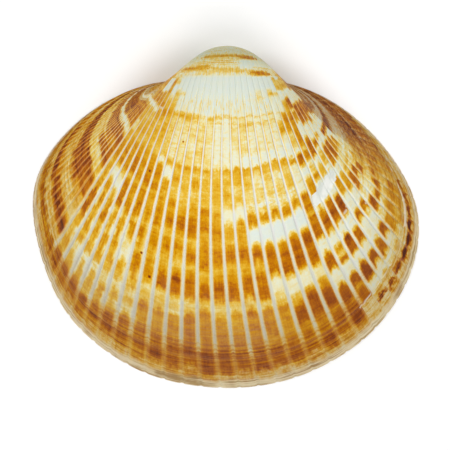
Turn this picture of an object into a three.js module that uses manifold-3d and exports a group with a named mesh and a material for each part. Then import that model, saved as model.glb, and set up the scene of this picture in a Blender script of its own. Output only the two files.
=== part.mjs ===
// One valve of a ribbed cockle, lying on its margin with the hollow side down.
// Millimetres. X runs along the hinge line to the hind end, Y to the beak, Z up.
import * as THREE from "three";
import { mergeVertices } from "three/addons/utils/BufferGeometryUtils.js";
import Module from "manifold-3d";

// The outline of the margin, from the hinge round the front end, the belly and the hind end.
const marginPoints = [
  [0, 0], [-12.4, -1.3], [-22.6, -7], [-28.9, -15.8], [-28.6, -26.2], [-23.6, -37.4],
  [-13.4, -45.3], [-1, -48.2], [11.4, -46.6], [22.3, -40.4], [28.9, -31.2], [30.4, -21.6],
  [26.7, -12.9], [19.4, -5.3], [10.6, -1], [0, 0],
];

// The shell is that outline, turned about the hinge line and shrunk as it turns.
const shrinkPerRadian = 0.8;
const tipAngle = 168;
const tipRoundness = 10;
const beakLean = 1;
const shareAngle = 140;

// Ribs: pitch as a share of the margin's length.
const broadPitch = 0.0174;
const frontPitch = 0.0088;
const hindPitch = 0.0122;
const frontChange = [0.262, 0.292];
const hindChange = [0.64, 0.79];
const ribSpan = [0.105, 0.905];
const firstBroadRib = 0.2917;
const broadEnd = 0.75;
const ribDepth = 0.34;
const ribFront = [0.08, 0.16];
const ribHind = [0.86, 0.93];
const ribStart = [-0.1, 0.3];
const plainFront = [0, 0.02, 0.045, 0.075];
const plainHind = [0.93, 0.96, 0.982];
const wornFrom = 0.93;
const wornTo = 0.965;
const wornShare = 0.6;
const grooveShare = 0.15;

// The last growth check: the shell steps down towards the margin there.
const checkShare = 0.953;
const checkWidth = 0.01;
const checkHeight = 0.24;
const checkRun = 0.12;
const checkFront = [0.05, 0.12];
const checkHind = [0.88, 0.95];

// Ribs wander along the margin a little on their way to the beak.
const middleWander = 0.25;
const middleFalloff = 2.2;
const middleAngle = 60;
const hindWander = 0.1;
const hindWanderSpan = [0.72, 0.92, 1];
const hindAngle = 75;
const hindGrowth = 1.6;

// Towards the margin the ribs sway forward, most of all in two stretches.
const swayFrom = 0.78;
const swaySlope = 0.014;
const swayBend = 0.06;
const swayLeast = -0.117;
const swayStretches = [
  { place: 0.385, spread: 0.035, most: 0.003, from: 0.66, to: 0.82 },
  { place: 0.715, spread: 0.05, most: 0.0024, from: 0.45, to: 0.58 },
];
const swayFront = [0.1, 0.25];
const swayHind = [0.8, 0.92];

// Rows of facets, as angles from the margin to the beak.
const marginRows = [-5, 1, 6, 7.6];
const coilRows = 16;
const coilBunching = 1.15;
const coilStart = 13;
const coilStop = 161;
const skirtDepth = 8;
const bellyY = -22;
const slopeStep = [0.002, 0.01];

// The hollow.
const rimWidth = 2;
const plateWidth = 2.4;
const plateFront = 0.125;
const plateHind = 0.885;
const plateBlend = 0.05;
const hollowPole = new THREE.Vector2(0.2, -3.5);
const hollowStop = 135;
const hollowRows = 7;
const hollowMarginAngles = [-6, 0, 5];
const hollowPlainFront = [0, 0.03, 0.06, 0.09];
const hollowPlainHind = [0.94, 0.97];
const crenulation = 0.3;
const crenulationFade = 14;

// The hinge.
const hingeRecess = 0.9;
const recessInset = [1.9, 5.6];
const recessFront = 0.105;
const recessHind = 0.905;
const recessSteps = 12;
const ridgeRadius = 1.25;
const ridgeHalf = 5.5;
const ridgeY = -0.95;
const toothGap = 0.15;
const toothRoot = 1;
const toothTop = 0.6;
const toothSides = 8;
const teeth = [
  { x: -1.6, y: -2.7, length: 1.7, width: 1.1, turn: 62 },
  { x: 0.9, y: -3.1, length: 2.3, width: 1.2, turn: 105 },
  { x: -12.9, y: -3.9, length: 3.4, width: 1.1, turn: 17 },
  { x: 13.7, y: -4.4, length: 4.2, width: 1.1, turn: -24 },
];

const radians = THREE.MathUtils.degToRad;
const smooth = (from, to, value) => THREE.MathUtils.smoothstep(value, from, to);

const margin = new THREE.SplineCurve(marginPoints.map(([x, y]) => new THREE.Vector2(x, y)));
margin.arcLengthDivisions = 2000;

// Rib number along the margin, found by adding up the pitch in small steps.
const phaseSteps = 4000;
const ribPhase = [0];
for (let i = 0; i < phaseSteps; i++) {
  const u = (i + 0.5) / phaseSteps;
  const front = THREE.MathUtils.lerp(frontPitch, broadPitch, smooth(...frontChange, u));
  const pitch = THREE.MathUtils.lerp(front, hindPitch, smooth(...hindChange, u));
  ribPhase.push(ribPhase[i] + 1 / (phaseSteps * pitch));
}
const phaseAt = (u) => {
  const place = THREE.MathUtils.clamp(u, 0, 1) * phaseSteps;
  const i = Math.min(Math.floor(place), phaseSteps - 1);
  return THREE.MathUtils.lerp(ribPhase[i], ribPhase[i + 1], place - i);
};
const placeOf = (phase) => {
  const i = Math.max(1, ribPhase.findIndex((value) => value >= phase));
  return (i - 1 + (phase - ribPhase[i - 1]) / (ribPhase[i] - ribPhase[i - 1])) / phaseSteps;
};
const phaseShift = phaseAt(firstBroadRib) % 1;
const isBroad = (u) => u > frontChange[0] && u < broadEnd;

// Size of the outline once the shell has turned by phi.
const sizeAt = (phi) => {
  const end = Math.max(0, phi) / radians(tipAngle);
  return Math.exp(-shrinkPerRadian * phi) * Math.sqrt(Math.max(0, 1 - end ** tipRoundness));
};

const sway = (u, phi) => {
  const share = 1 - phi / radians(shareAngle);
  const late = Math.max(swayLeast, share - swayFrom);
  let forward = swaySlope * late + swayBend * late ** 2;
  for (const { place, spread, most, from, to } of swayStretches) {
    forward += most * Math.exp(-(((u - place) / spread) ** 2)) * smooth(from, to, share);
  }
  return forward * smooth(...swayFront, u) * (1 - smooth(...swayHind, u));
};

const wander = (u, phi) => {
  const near = THREE.MathUtils.clamp(phi / radians(middleAngle), 0, 1);
  const far = THREE.MathUtils.clamp(phi / radians(hindAngle), 0, 1);
  const middle = middleWander * u * (1 - u) ** middleFalloff * near * (2 - near);
  const [from, peak, to] = hindWanderSpan;
  const hind = hindWander * smooth(from, peak, u) * (1 - smooth(peak, to, u)) * far ** hindGrowth;
  return -middle - hind - sway(u, phi);
};

const outerPoint = (u, phi) => {
  const across = margin.getPointAt(THREE.MathUtils.clamp(u + wander(u, phi), 0, 1));
  const size = sizeAt(phi);
  const lean = beakLean * Math.max(0, 1 - size) ** 3;
  return new THREE.Vector3(
    size * across.x + lean,
    size * across.y * Math.cos(phi),
    -size * across.y * Math.sin(phi),
  );
};

const outward = (u, phi) => {
  const [alongStep, turnStep] = slopeStep;
  const du = outerPoint(u + alongStep, phi).sub(outerPoint(u - alongStep, phi));
  const dphi = outerPoint(u, phi + turnStep).sub(outerPoint(u, phi - turnStep));
  return du.cross(dphi).normalize();
};

// Height of the surface over the smooth shell, in millimetres at full size.
const relief = (u, phi, groove) => {
  const share = 1 - phi / radians(shareAngle);
  const ribs = smooth(...ribFront, u) * (1 - smooth(...ribHind, u));
  const pitch = (2 * slopeStep[0]) / (phaseAt(u + slopeStep[0]) - phaseAt(u - slopeStep[0]));
  const worn = 1 - wornShare * smooth(wornFrom, wornTo, share);
  const depth = groove * ribDepth * worn * ribs * (pitch / broadPitch) * smooth(...ribStart, share);
  const lip = smooth(checkShare - checkRun, checkShare - checkWidth / 2, share)
    * (1 - smooth(checkShare - checkWidth / 2, checkShare + checkWidth / 2, share));
  const sides = smooth(...checkFront, u) * (1 - smooth(...checkHind, u));
  return checkHeight * lip * sides - depth;
};

// Columns of facets: plain ones at the hinge, then groove, rib edge, rib edge over the broad
// ribs and groove, crest over the narrow ones.
const columns = [];
for (const u of plainFront) columns.push({ u, groove: 0 });
const firstPhase = Math.ceil(phaseAt(ribSpan[0]) - phaseShift) + phaseShift;
for (let phase = firstPhase; placeOf(phase) < ribSpan[1]; phase++) {
  const u = placeOf(phase);
  columns.push({ u, groove: 1 });
  if (isBroad(u)) {
    columns.push({ u: placeOf(phase + grooveShare), groove: 0 });
    columns.push({ u: placeOf(phase + 1 - grooveShare), groove: 0 });
  } else {
    columns.push({ u: placeOf(phase + 0.5), groove: 0 });
  }
}
for (const u of plainHind) columns.push({ u, groove: 0 });

// A closed surface through rings of points, from a flat skirt below the floor to a last ring
// that ends in a point or a flat end.
function ringSolid(rings, lowest, end) {
  const count = rings[0].length;
  const skirt = rings[0].map((p) => new THREE.Vector3(p.x, p.y, lowest));
  const all = [skirt, ...rings];
  const points = all.flat();
  const bottom = points.push(new THREE.Vector3(0, bellyY, lowest)) - 1;
  const top = points.push(end) - 1;
  const faces = [];
  for (let i = 0; i < count; i++) {
    const next = (i + 1) % count;
    faces.push(bottom, next, i);
    for (let j = 0; j + 1 < all.length; j++) {
      const a = j * count;
      const b = a + count;
      faces.push(a + i, a + next, b + next, a + i, b + next, b + i);
    }
    const last = (all.length - 1) * count;
    faces.push(last + i, last + next, top);
  }
  return { points, faces };
}

const wasm = await Module();
wasm.setup();
const { Manifold } = wasm;

function toManifold({ points, faces }) {
  const vertProperties = new Float32Array(points.flatMap((p) => [p.x, p.y, p.z]));
  const mesh = new wasm.Mesh({ numProp: 3, vertProperties, triVerts: new Uint32Array(faces) });
  return new Manifold(mesh);
}

function fromGeometry(geometry) {
  const plain = geometry.clone();
  plain.deleteAttribute("normal");
  plain.deleteAttribute("uv");
  const merged = mergeVertices(plain, 1e-4);
  const place = merged.getAttribute("position");
  const points = [];
  for (let i = 0; i < place.count; i++) points.push(new THREE.Vector3().fromBufferAttribute(place, i));
  return toManifold({ points, faces: [...merged.getIndex().array] });
}

// The outside of the shell.
const rowAngles = [...marginRows];
for (let j = 0; j < coilRows; j++) {
  const along = (j / (coilRows - 1)) ** coilBunching;
  rowAngles.push(THREE.MathUtils.lerp(coilStart, coilStop, along));
}
const outerRings = rowAngles.map((angle) => {
  const phi = radians(angle);
  return columns.map(({ u, groove }) => {
    const point = outerPoint(u, phi);
    const height = relief(u, phi, groove) * sizeAt(phi);
    return height === 0 ? point : point.addScaledVector(outward(u, phi), height);
  });
});
const tip = new THREE.Vector3(beakLean, 0, 0);
let shell = toManifold(ringSolid(outerRings, -skirtDepth, tip));

// The hollow: the same growth about a line inside the hinge, under a margin set in from the rim.
const inset = (u, distance) => {
  const tangent = margin.getTangentAt(u);
  return margin.getPointAt(u).add(new THREE.Vector2(-tangent.y, tangent.x).multiplyScalar(distance));
};
const hollowColumns = [...hollowPlainFront];
for (let phase = firstPhase; placeOf(phase) < ribSpan[1]; phase++) {
  hollowColumns.push(placeOf(phase));
  if (isBroad(placeOf(phase))) hollowColumns.push(placeOf(phase + 0.5));
}
hollowColumns.push(...hollowPlainHind);
const hollowAngles = [...hollowMarginAngles, crenulationFade];
for (let j = 1; j <= hollowRows; j++) {
  hollowAngles.push(THREE.MathUtils.lerp(crenulationFade, hollowStop, j / hollowRows));
}
const hollowRings = hollowAngles.map((angle) => {
  const phi = radians(angle);
  const size = Math.exp(-shrinkPerRadian * phi);
  const fade = 1 - smooth(0, crenulationFade, Math.abs(angle));
  return hollowColumns.map((u) => {
    const front = 1 - smooth(plateFront - plateBlend, plateFront + plateBlend, u);
    const plate = Math.max(front, smooth(plateHind - plateBlend, plateHind + plateBlend, u));
    const onRib = Math.abs(((phaseAt(u) - phaseShift) % 1) - 0.5) < 0.25;
    const notch = isBroad(u) && !onRib ? crenulation * fade : 0;
    const across = inset(u - sway(u, 0), rimWidth + plateWidth * plate - notch).sub(hollowPole);
    return new THREE.Vector3(
      hollowPole.x + size * across.x,
      hollowPole.y + size * across.y * Math.cos(phi),
      -size * across.y * Math.sin(phi),
    );
  });
});
const hollowEnd = new THREE.Vector3(hollowPole.x, hollowPole.y, 0);
shell = shell.subtract(toManifold(ringSolid(hollowRings, -2 * skirtDepth, hollowEnd)));

// The ridge that carries the ligament, under the beak.
const ridgeShape = new THREE.CapsuleGeometry(ridgeRadius, 2 * ridgeHalf, 4, 16);
ridgeShape.rotateZ(Math.PI / 2);
ridgeShape.translate(0, ridgeY, 0);
shell = shell.add(fromGeometry(ridgeShape));

// The hinge plate is sunk below the rim, and its teeth stand in the recess.
const recessPlaces = [];
for (let i = 0; i <= recessSteps; i++) {
  recessPlaces.push(THREE.MathUtils.lerp(recessHind - 1, recessFront, i / recessSteps));
}
const recessEdge = (distance) => recessPlaces.map((u) => inset((u + 1) % 1, distance));
const recessOutline = [...recessEdge(recessInset[0]), ...recessEdge(recessInset[1]).reverse()];
const recessShape = new THREE.ExtrudeGeometry(new THREE.Shape(recessOutline), {
  depth: skirtDepth + hingeRecess,
  bevelEnabled: false,
});
recessShape.translate(0, 0, -skirtDepth);
shell = shell.subtract(fromGeometry(recessShape));

for (const { x, y, length, width, turn } of teeth) {
  const height = hingeRecess - toothGap + toothRoot;
  const tooth = new THREE.CylinderGeometry(0.5, toothTop / 2, height, toothSides);
  tooth.rotateX(Math.PI / 2);
  tooth.scale(length, width, 1);
  tooth.rotateZ(radians(turn));
  tooth.translate(x, y, toothGap + height / 2);
  shell = shell.add(fromGeometry(tooth));
}

shell = shell.trimByPlane([0, 0, 1], 0);

const finished = shell.getMesh();
const geometry = new THREE.BufferGeometry();
geometry.setAttribute("position", new THREE.BufferAttribute(finished.vertProperties, 3));
geometry.setIndex(new THREE.BufferAttribute(finished.triVerts, 1));
geometry.computeBoundingBox();
const { min, max } = geometry.boundingBox;
geometry.translate(-(min.x + max.x) / 2, -(min.y + max.y) / 2, -min.z);

const material = new THREE.MeshStandardMaterial({ color: 0xcf8f3a, roughness: 0.35, metalness: 0 });
const valve = new THREE.Mesh(geometry, material);
valve.name = "valve";

const group = new THREE.Group();
group.name = "cockle_shell";
group.add(valve);
export default group;
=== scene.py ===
import math
import bpy
import numpy as np
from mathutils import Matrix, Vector


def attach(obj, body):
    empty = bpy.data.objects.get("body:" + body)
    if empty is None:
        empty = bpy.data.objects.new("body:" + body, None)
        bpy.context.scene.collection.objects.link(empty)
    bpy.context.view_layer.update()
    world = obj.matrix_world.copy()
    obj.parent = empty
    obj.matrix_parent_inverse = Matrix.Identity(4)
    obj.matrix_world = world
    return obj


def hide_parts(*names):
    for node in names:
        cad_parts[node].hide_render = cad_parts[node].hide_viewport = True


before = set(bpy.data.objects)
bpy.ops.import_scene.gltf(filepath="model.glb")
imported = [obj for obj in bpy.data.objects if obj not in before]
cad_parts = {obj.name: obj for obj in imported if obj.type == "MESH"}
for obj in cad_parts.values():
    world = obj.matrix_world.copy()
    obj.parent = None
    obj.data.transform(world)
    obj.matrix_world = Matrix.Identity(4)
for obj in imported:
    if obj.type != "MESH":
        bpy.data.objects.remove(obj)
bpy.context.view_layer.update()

# Outline of the margin in mm, from the hinge round the front end, belly and hind end
growth = {
    "margin": [(0, 0), (-12.4, -1.3), (-22.6, -7), (-28.9, -15.8), (-28.6, -26.2), (-23.6, -37.4),
               (-13.4, -45.3), (-1, -48.2), (11.4, -46.6), (22.3, -40.4), (28.9, -31.2), (30.4, -21.6),
               (26.7, -12.9), (19.4, -5.3), (10.6, -1), (0, 0)],
    "shrink": 0.8,           # per radian of coil
    "tipAngle": 168,
    "beakLean": 1.0,
    "shareAngle": 140,       # growth share 0 is here, 1 is at the margin
    "broadPitch": 0.0174, "frontPitch": 0.0088, "hindPitch": 0.0122,
    "frontChange": (0.262, 0.292), "hindChange": (0.64, 0.79),
    "firstBroadRib": 0.2917,
    # growth lines run up towards the hinge at both ends, and sag a little in front of the belly
    "frontTurn": (0.265, 0.125, 0.5, 1.3), "hindTurn": (0.745, 0.19, 0.8, 2.4),
    "frontSag": 0.03, "sagAlong": (0.29, 0.44), "sagGrown": (0.55, 0.75, 0.93, 1),
    # ribs drift on their way to the beak: how far, how it bends, over which angle
    "middleDrift": (0.25, 2.2, 60), "hindDrift": (0.1, 1.6, 75), "hindDriftSpan": (0.72, 0.92, 1),
    # ribs sway forward towards the margin: from which share, slope, bend, least
    "sway": (0.78, 0.014, 0.06, -0.117), "swaySpan": (0.1, 0.25, 0.8, 0.92),
    # and more in two stretches: place, spread, most, from and to which share
    "swayStretches": [(0.385, 0.035, 0.003, 0.66, 0.82), (0.715, 0.05, 0.0024, 0.45, 0.58)],
}


def smooth(low, high, value):
    t = np.clip((np.asarray(value, float) - low) / (high - low), 0, 1)
    return t * t * (3 - 2 * t)


def splineTable(points, steps=8000):
    p = np.array(points, float)
    last = len(p) - 1
    t = np.linspace(0, last, steps + 1)
    i = np.clip(np.floor(t).astype(int), 0, last - 1)
    f = (t - i)[:, None]
    a, b, c, d = (p[np.clip(i + k, 0, last)] for k in (-1, 0, 1, 2))
    curve = 0.5 * (2 * b + (c - a) * f + (2 * a - 5 * b + 4 * c - d) * f ** 2
                   + (3 * b - a - 3 * c + d) * f ** 3)
    run = np.concatenate([[0], np.cumsum(np.linalg.norm(np.diff(curve, axis=0), axis=1))])
    return run / run[-1], curve


marginRun, marginCurve = splineTable(growth["margin"])


def marginAt(u):
    return np.stack([np.interp(u, marginRun, marginCurve[:, k]) for k in (0, 1)], -1)


# Rib number along the margin: the pitch added up
pitchSteps = 4000
ribSteps = (np.arange(pitchSteps) + 0.5) / pitchSteps
broader = growth["broadPitch"] - growth["frontPitch"]
ribPitch = growth["frontPitch"] + broader * smooth(*growth["frontChange"], ribSteps)
ribPitch += (growth["hindPitch"] - ribPitch) * smooth(*growth["hindChange"], ribSteps)
ribTable = np.concatenate([[0], np.cumsum(1 / (pitchSteps * ribPitch))])
ribPlaces = np.linspace(0, 1, pitchSteps + 1)
ribShift = np.interp(growth["firstBroadRib"], ribPlaces, ribTable) % 1


def ribPhase(u):
    return np.interp(u, ribPlaces, ribTable) - ribShift


def ribPlace(phase):
    return np.interp(np.asarray(phase) + ribShift, ribTable, ribPlaces)


def coilSize(phi):
    end = np.clip(phi, 0, None) / math.radians(growth["tipAngle"])
    return np.exp(-growth["shrink"] * phi) * np.sqrt(np.clip(1 - end ** 10, 0, 1))


def shareAt(phi):
    return 1 - phi / math.radians(growth["shareAngle"])


def wander(u, phi):
    most, falloff, angle = growth["middleDrift"]
    near = np.clip(phi / math.radians(angle), 0, 1)
    middle = most * u * (1 - u) ** falloff * near * (2 - near)
    most, bend, angle = growth["hindDrift"]
    first, peak, last = growth["hindDriftSpan"]
    far = np.clip(phi / math.radians(angle), 0, 1)
    hind = most * smooth(first, peak, u) * (1 - smooth(peak, last, u)) * far ** bend
    share = shareAt(phi)
    start, slope, bend, least = growth["sway"]
    late = np.clip(share - start, least, None)
    forward = slope * late + bend * late ** 2
    for place, spread, most, low, high in growth["swayStretches"]:
        forward = forward + most * np.exp(-((u - place) / spread) ** 2) * smooth(low, high, share)
    first, full, fading, last = growth["swaySpan"]
    return -middle - hind - forward * smooth(first, full, u) * (1 - smooth(fading, last, u))


def backPoint(u, phi):
    across = marginAt(np.clip(u + wander(np.clip(u, 0, 1), phi), 0, 1))
    size = coilSize(phi)
    lean = growth["beakLean"] * np.clip(1 - size, 0, None) ** 3
    return np.stack([size * across[..., 0] + lean, size * across[..., 1] * np.cos(phi),
                     -size * across[..., 1] * np.sin(phi)], -1)


def backNormal(u, phi):
    du = backPoint(u + 0.002, phi) - backPoint(u - 0.002, phi)
    dphi = backPoint(u, phi + 0.01) - backPoint(u, phi - 0.01)
    n = np.cross(du, dphi)
    return n / np.maximum(np.linalg.norm(n, axis=-1, keepdims=True), 1e-12)


# Growth share of the belly that the growth line through a place belongs to
def growthLine(u, share):
    start, run, most, bend = growth["frontTurn"]
    turn = most * np.clip((start - u) / run, 0, 1.35) ** bend
    start, run, most, bend = growth["hindTurn"]
    turn = turn + most * np.clip((u - start) / run, 0, 1) ** bend
    turned = 1 - (1 - share) / (1 - turn)
    first, full, fading, last = growth["sagGrown"]
    sag = growth["frontSag"] * (1 - smooth(*growth["sagAlong"], u)) * smooth(first, full, turned)
    return turned - sag * (1 - smooth(fading, last, turned))


def lineNoise(seed, count, places):
    heights = np.random.default_rng(seed).uniform(-1, 1, count + 2)
    x = np.clip(places, 0, 1) * count
    i = np.floor(x).astype(int)
    f = x - i
    f = f * f * (3 - 2 * f)
    return heights[i] * (1 - f) + heights[i + 1] * f


back = {
    "ribDepth": 0.34, "grooveShare": 0.16, "ribCrown": 0.05,
    "wornShare": 0.6, "wornFrom": 0.93, "wornTo": 0.965,    # the last growth is smoother
    # where ribs and growth lines rise and fade along the margin
    "ribSpan": (0.08, 0.16, 0.86, 0.93), "lineSpan": (0.05, 0.12, 0.88, 0.95), "ribStart": (-0.1, 0.3),
    # growth steps: share, height in mm, run up to it, width of the drop
    "steps": [(0.512, 0.10, 0.04, 0.006), (0.64, 0.06, 0.05, 0.006), (0.735, 0.07, 0.04, 0.006),
              (0.815, 0.09, 0.04, 0.005), (0.872, 0.08, 0.03, 0.005), (0.953, 0.24, 0.12, 0.01)],
    # fine growth lines: height, then how it swells from one share to another
    "lineHeight": 0.035, "lineSwell": (0.35, 1.2, 0.9, 0.97), "leastLift": 0.02, "rimLift": 0.16,
    "chip": {"at": (0.6885, 0.739), "half": (0.031, 0.0175), "tilt": 0.12, "depth": 0.34, "flat": 0.85},
    # cracks: width, then places along the margin and in growth
    "crackHeight": 0.07, "crackStretch": 1.6,
    "cracks": [
        (0.006, [(0.14, 0.757), (0.16, 0.715), (0.18, 0.66), (0.20, 0.61), (0.22, 0.565), (0.25, 0.517),
                 (0.28, 0.512), (0.36, 0.508)]),
        (0.003, [(0.70, 0.808), (0.712, 0.802), (0.724, 0.812), (0.738, 0.806)]),
        (0.003, [(0.712, 0.822), (0.726, 0.828), (0.742, 0.820)]),
        (0.0035, [(0.733, 0.848), (0.742, 0.846), (0.750, 0.850)]),
        (0.003, [(0.684, 0.815), (0.695, 0.811), (0.700, 0.808)]),
        (0.0022, [(0.655, 0.953), (0.668, 0.951), (0.686, 0.950), (0.702, 0.953), (0.716, 0.956)]),
        (0.0042, [(0.714, 0.956), (0.722, 0.958), (0.73, 0.9595), (0.74, 0.963), (0.752, 0.9645)]),
        (0.0030, [(0.745, 0.963), (0.7745, 0.963), (0.788, 0.958), (0.80, 0.958), (0.82, 0.968)]),
    ],
    # where the ribs and the broad ribs start and end; columns of the mesh before and behind them
    "ribbed": (0.1, 0.905), "broad": (0.255, 0.77), "plainColumns": (30, 31),
    # columns over one rib, as shares of it
    "narrowPhases": (0, 0.1, 0.22, 0.5, 0.78, 0.9),
    "broadPhases": (0, 0.05, 0.1, 0.15, 0.21, 0.34, 0.5, 0.66, 0.79, 0.85, 0.9, 0.95),
    "angles": [(0, 20, 52), (20, 75, 82), (75, 168, 26)],   # from, to, rows
}


def chipMask(u, share):
    chip = back["chip"]
    reach = (u - chip["at"][0]) / chip["half"][0]
    off = share - chip["at"][1] + chip["tilt"] * (u - chip["at"][0])
    jag = 0.0035 * lineNoise(33, 330, u) + 0.002 * lineNoise(34, 120, u) + 0.0012 * lineNoise(31, 260, share)
    edge = chip["half"][1] * np.sqrt(np.clip(1 - np.abs(reach) ** 3, 0, 1)) - np.abs(off) + jag
    return smooth(0, 0.004, edge) * smooth(0, 0.06, 1 - np.abs(reach))


# How near a place is to one of the thin raised cracks
def crackMask(u, share):
    mask = np.zeros(np.shape(u))
    stretch = back["crackStretch"]
    for width, path in back["cracks"]:
        for (u0, s0), (u1, s1) in zip(path, path[1:]):
            du, ds = (u1 - u0) * stretch, s1 - s0
            t = np.clip(((u - u0) * stretch * du + (share - s0) * ds) / (du * du + ds * ds), 0, 1)
            reach = np.hypot((u - u0) * stretch - t * du, share - s0 - t * ds)
            mask = np.maximum(mask, 1 - smooth(width * 0.4, width, reach))
    return mask


# A mask that rises and fades again along the margin
def spanMask(span, u):
    first, full, fading, last = span
    return smooth(first, full, u) * (1 - smooth(fading, last, u))


def backRelief(u, phi):
    share = shareAt(phi)
    line = growthLine(u, share)
    fraction = ribPhase(u) % 1
    edge = 0.5 - np.abs(fraction - 0.5)
    ribs = spanMask(back["ribSpan"], u) * smooth(*back["ribStart"], share)
    pitch = np.interp(u, ribSteps, ribPitch) / growth["broadPitch"]
    groove = (1 - smooth(0, back["grooveShare"], edge)) * back["ribDepth"]
    worn = 1 - back["wornShare"] * smooth(back["wornFrom"], back["wornTo"], share)
    height = ribs * pitch * worn * (back["ribCrown"] * (1 - (2 * fraction - 1) ** 2) - groove)
    sides = spanMask(back["lineSpan"], u)
    for at, lift, run, drop in back["steps"]:
        place = line + 0.002 * lineNoise(int(at * 1000), 160, u)
        upTo, after = at - drop / 2, at + drop / 2
        height = height + sides * lift * smooth(at - run, upTo, place) * (1 - smooth(upTo, after, place))
    lines = lineNoise(5, 420, line) * 0.6 + lineNoise(6, 190, line) * 0.5
    least, more, low, high = back["lineSwell"]
    height = height + sides * back["lineHeight"] * lines * (least + more * smooth(low, high, share))
    height = height + back["crackHeight"] * crackMask(u, share)
    chip = chipMask(u, share)
    return height * (1 - back["chip"]["flat"] * chip) - back["chip"]["depth"] * chip


def newObject(name, data):
    made = bpy.data.objects.new(name, data)
    bpy.context.scene.collection.objects.link(made)
    return made


def gridMesh(name, points, layers):
    rows, cols = points.shape[:2]
    mesh = bpy.data.meshes.new(name)
    r, c = np.meshgrid(np.arange(rows - 1), np.arange(cols - 1), indexing="ij")
    a = (r * cols + c).ravel()
    faces = np.stack([a, a + 1, a + cols + 1, a + cols], 1)
    mesh.vertices.add(rows * cols)
    mesh.vertices.foreach_set("co", (points * 0.001).astype(np.float32).ravel())
    mesh.loops.add(faces.size)
    mesh.loops.foreach_set("vertex_index", faces.ravel().astype(np.int32))
    mesh.polygons.add(len(faces))
    mesh.polygons.foreach_set("loop_start", np.arange(0, faces.size, 4, dtype=np.int32))
    mesh.polygons.foreach_set("loop_total", np.full(len(faces), 4, np.int32))
    mesh.polygons.foreach_set("use_smooth", np.ones(len(faces), bool))
    mesh.update(calc_edges=True)
    for layer, values in layers.items():
        uv = mesh.uv_layers.new(name=layer)
        corners = values(faces, a // cols, a % cols)
        uv.data.foreach_set("uv", corners.astype(np.float32).ravel())
    return newObject(name, mesh)


# Columns follow the ribs, so that every groove is cut sharp
ribbedFrom, ribbedTo = back["ribbed"]
columns = list(np.linspace(0, ribbedFrom, back["plainColumns"][0], endpoint=False))
for rib in range(int(math.ceil(ribPhase(ribbedFrom))), int(ribPhase(ribbedTo))):
    broad = back["broad"][0] < ribPlace(rib) < back["broad"][1]
    phases = back["broadPhases"] if broad else back["narrowPhases"]
    columns += [float(ribPlace(rib + p)) for p in phases]
columns += list(np.linspace(ribPlace(int(ribPhase(ribbedTo))), 1, back["plainColumns"][1]))
columns = np.array(columns)
columnRib = np.floor(ribPhase((columns[1:] + columns[:-1]) / 2))

phis = [np.linspace(low, high, rows, endpoint=high == growth["tipAngle"])
        for low, high, rows in back["angles"]]
phis = np.radians(np.concatenate(phis))[::-1]
shares = shareAt(phis)

uu, pp = np.meshgrid(columns, phis)
backPoints = backPoint(uu, pp) + backNormal(uu, pp) * (backRelief(uu, pp) * coilSize(pp))[..., None]
backPoints[..., 2] = np.maximum(backPoints[..., 2], back["leastLift"])
backPoints[-1, :, 2] = back["rimLift"]     # the rim rounds over from here
middle = (backPoints[..., :2].min((0, 1)) + backPoints[..., :2].max((0, 1))) / 2


def placed(points):
    return points - np.array([middle[0], middle[1], 0])


def cornerPairs(first, second):
    def values(faces, row, col):
        return np.stack([first(faces, row, col), second(faces, row, col)], -1)
    return values


# Maps that the finishes read: place and growth, rib and its number, chip and crack
def backLayers(rowShares, lineOf=lambda u, share: share):
    cols = len(columns)
    alongOf = lambda faces, row, col: columns[faces % cols]
    grownOf = lambda faces: rowShares[faces // cols]
    shareOf = lambda faces, row, col: lineOf(columns[faces % cols], grownOf(faces))
    fractionOf = lambda faces, row, col: ribPhase(columns[faces % cols]) - columnRib[col][:, None]
    numberOf = lambda faces, row, col: np.repeat(columnRib[col][:, None] / 100, 4, 1)
    chipOf = lambda faces, row, col: chipMask(columns[faces % cols], grownOf(faces))
    crackOf = lambda faces, row, col: crackMask(columns[faces % cols], grownOf(faces))
    return {"growthMap": cornerPairs(alongOf, shareOf), "ribMap": cornerPairs(fractionOf, numberOf),
            "wearMap": cornerPairs(chipOf, crackOf)}


valveBack = gridMesh("valveBack", placed(backPoints), backLayers(shares, growthLine))
print("back", len(valveBack.data.polygons) * 2, "triangles")

# The rim, the hinge plate and the hollow
inside = {
    "rimWidth": 2.0, "plateWidth": 2.4, "plateFront": 0.125, "plateHind": 0.885,
    "pole": (0.2, -3.5), "stop": 140, "crenulation": 0.3, "crenulationFade": 14,
    "plateFade": 0.05, "ribSpan": (0.12, 0.2, 0.82, 0.9),
    "recess": 0.9, "recessInset": 1.9, "recessFront": (0.10, 0.107), "recessHind": (0.902, 0.909),
    "recessFade": 30, "edgeFade": 8,      # degrees into the hollow
    "rimRows": 34, "hollowRows": 74, "rowSpread": 1.25,
    # both edges of the rim are rounded: height and width
    "outerRound": (0.16, 0.45), "innerRound": (0.12, 0.4),
    # teeth: x, y, length, width, turn, measured from the beak's tip
    "teeth": [(-1.6, -2.7, 1.7, 1.1, 62), (0.9, -3.1, 2.3, 1.2, 105),
              (-12.9, -3.9, 3.4, 1.1, 17), (13.7, -4.4, 4.2, 1.1, -24)],
}


def insetMargin(u, distance):
    tangent = marginAt(np.clip(u + 0.001, 0, 1)) - marginAt(np.clip(u - 0.001, 0, 1))
    tangent /= np.linalg.norm(tangent, axis=-1, keepdims=True)
    return marginAt(u) + np.stack([-tangent[..., 1], tangent[..., 0]], -1) * np.asarray(distance)[..., None]


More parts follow.
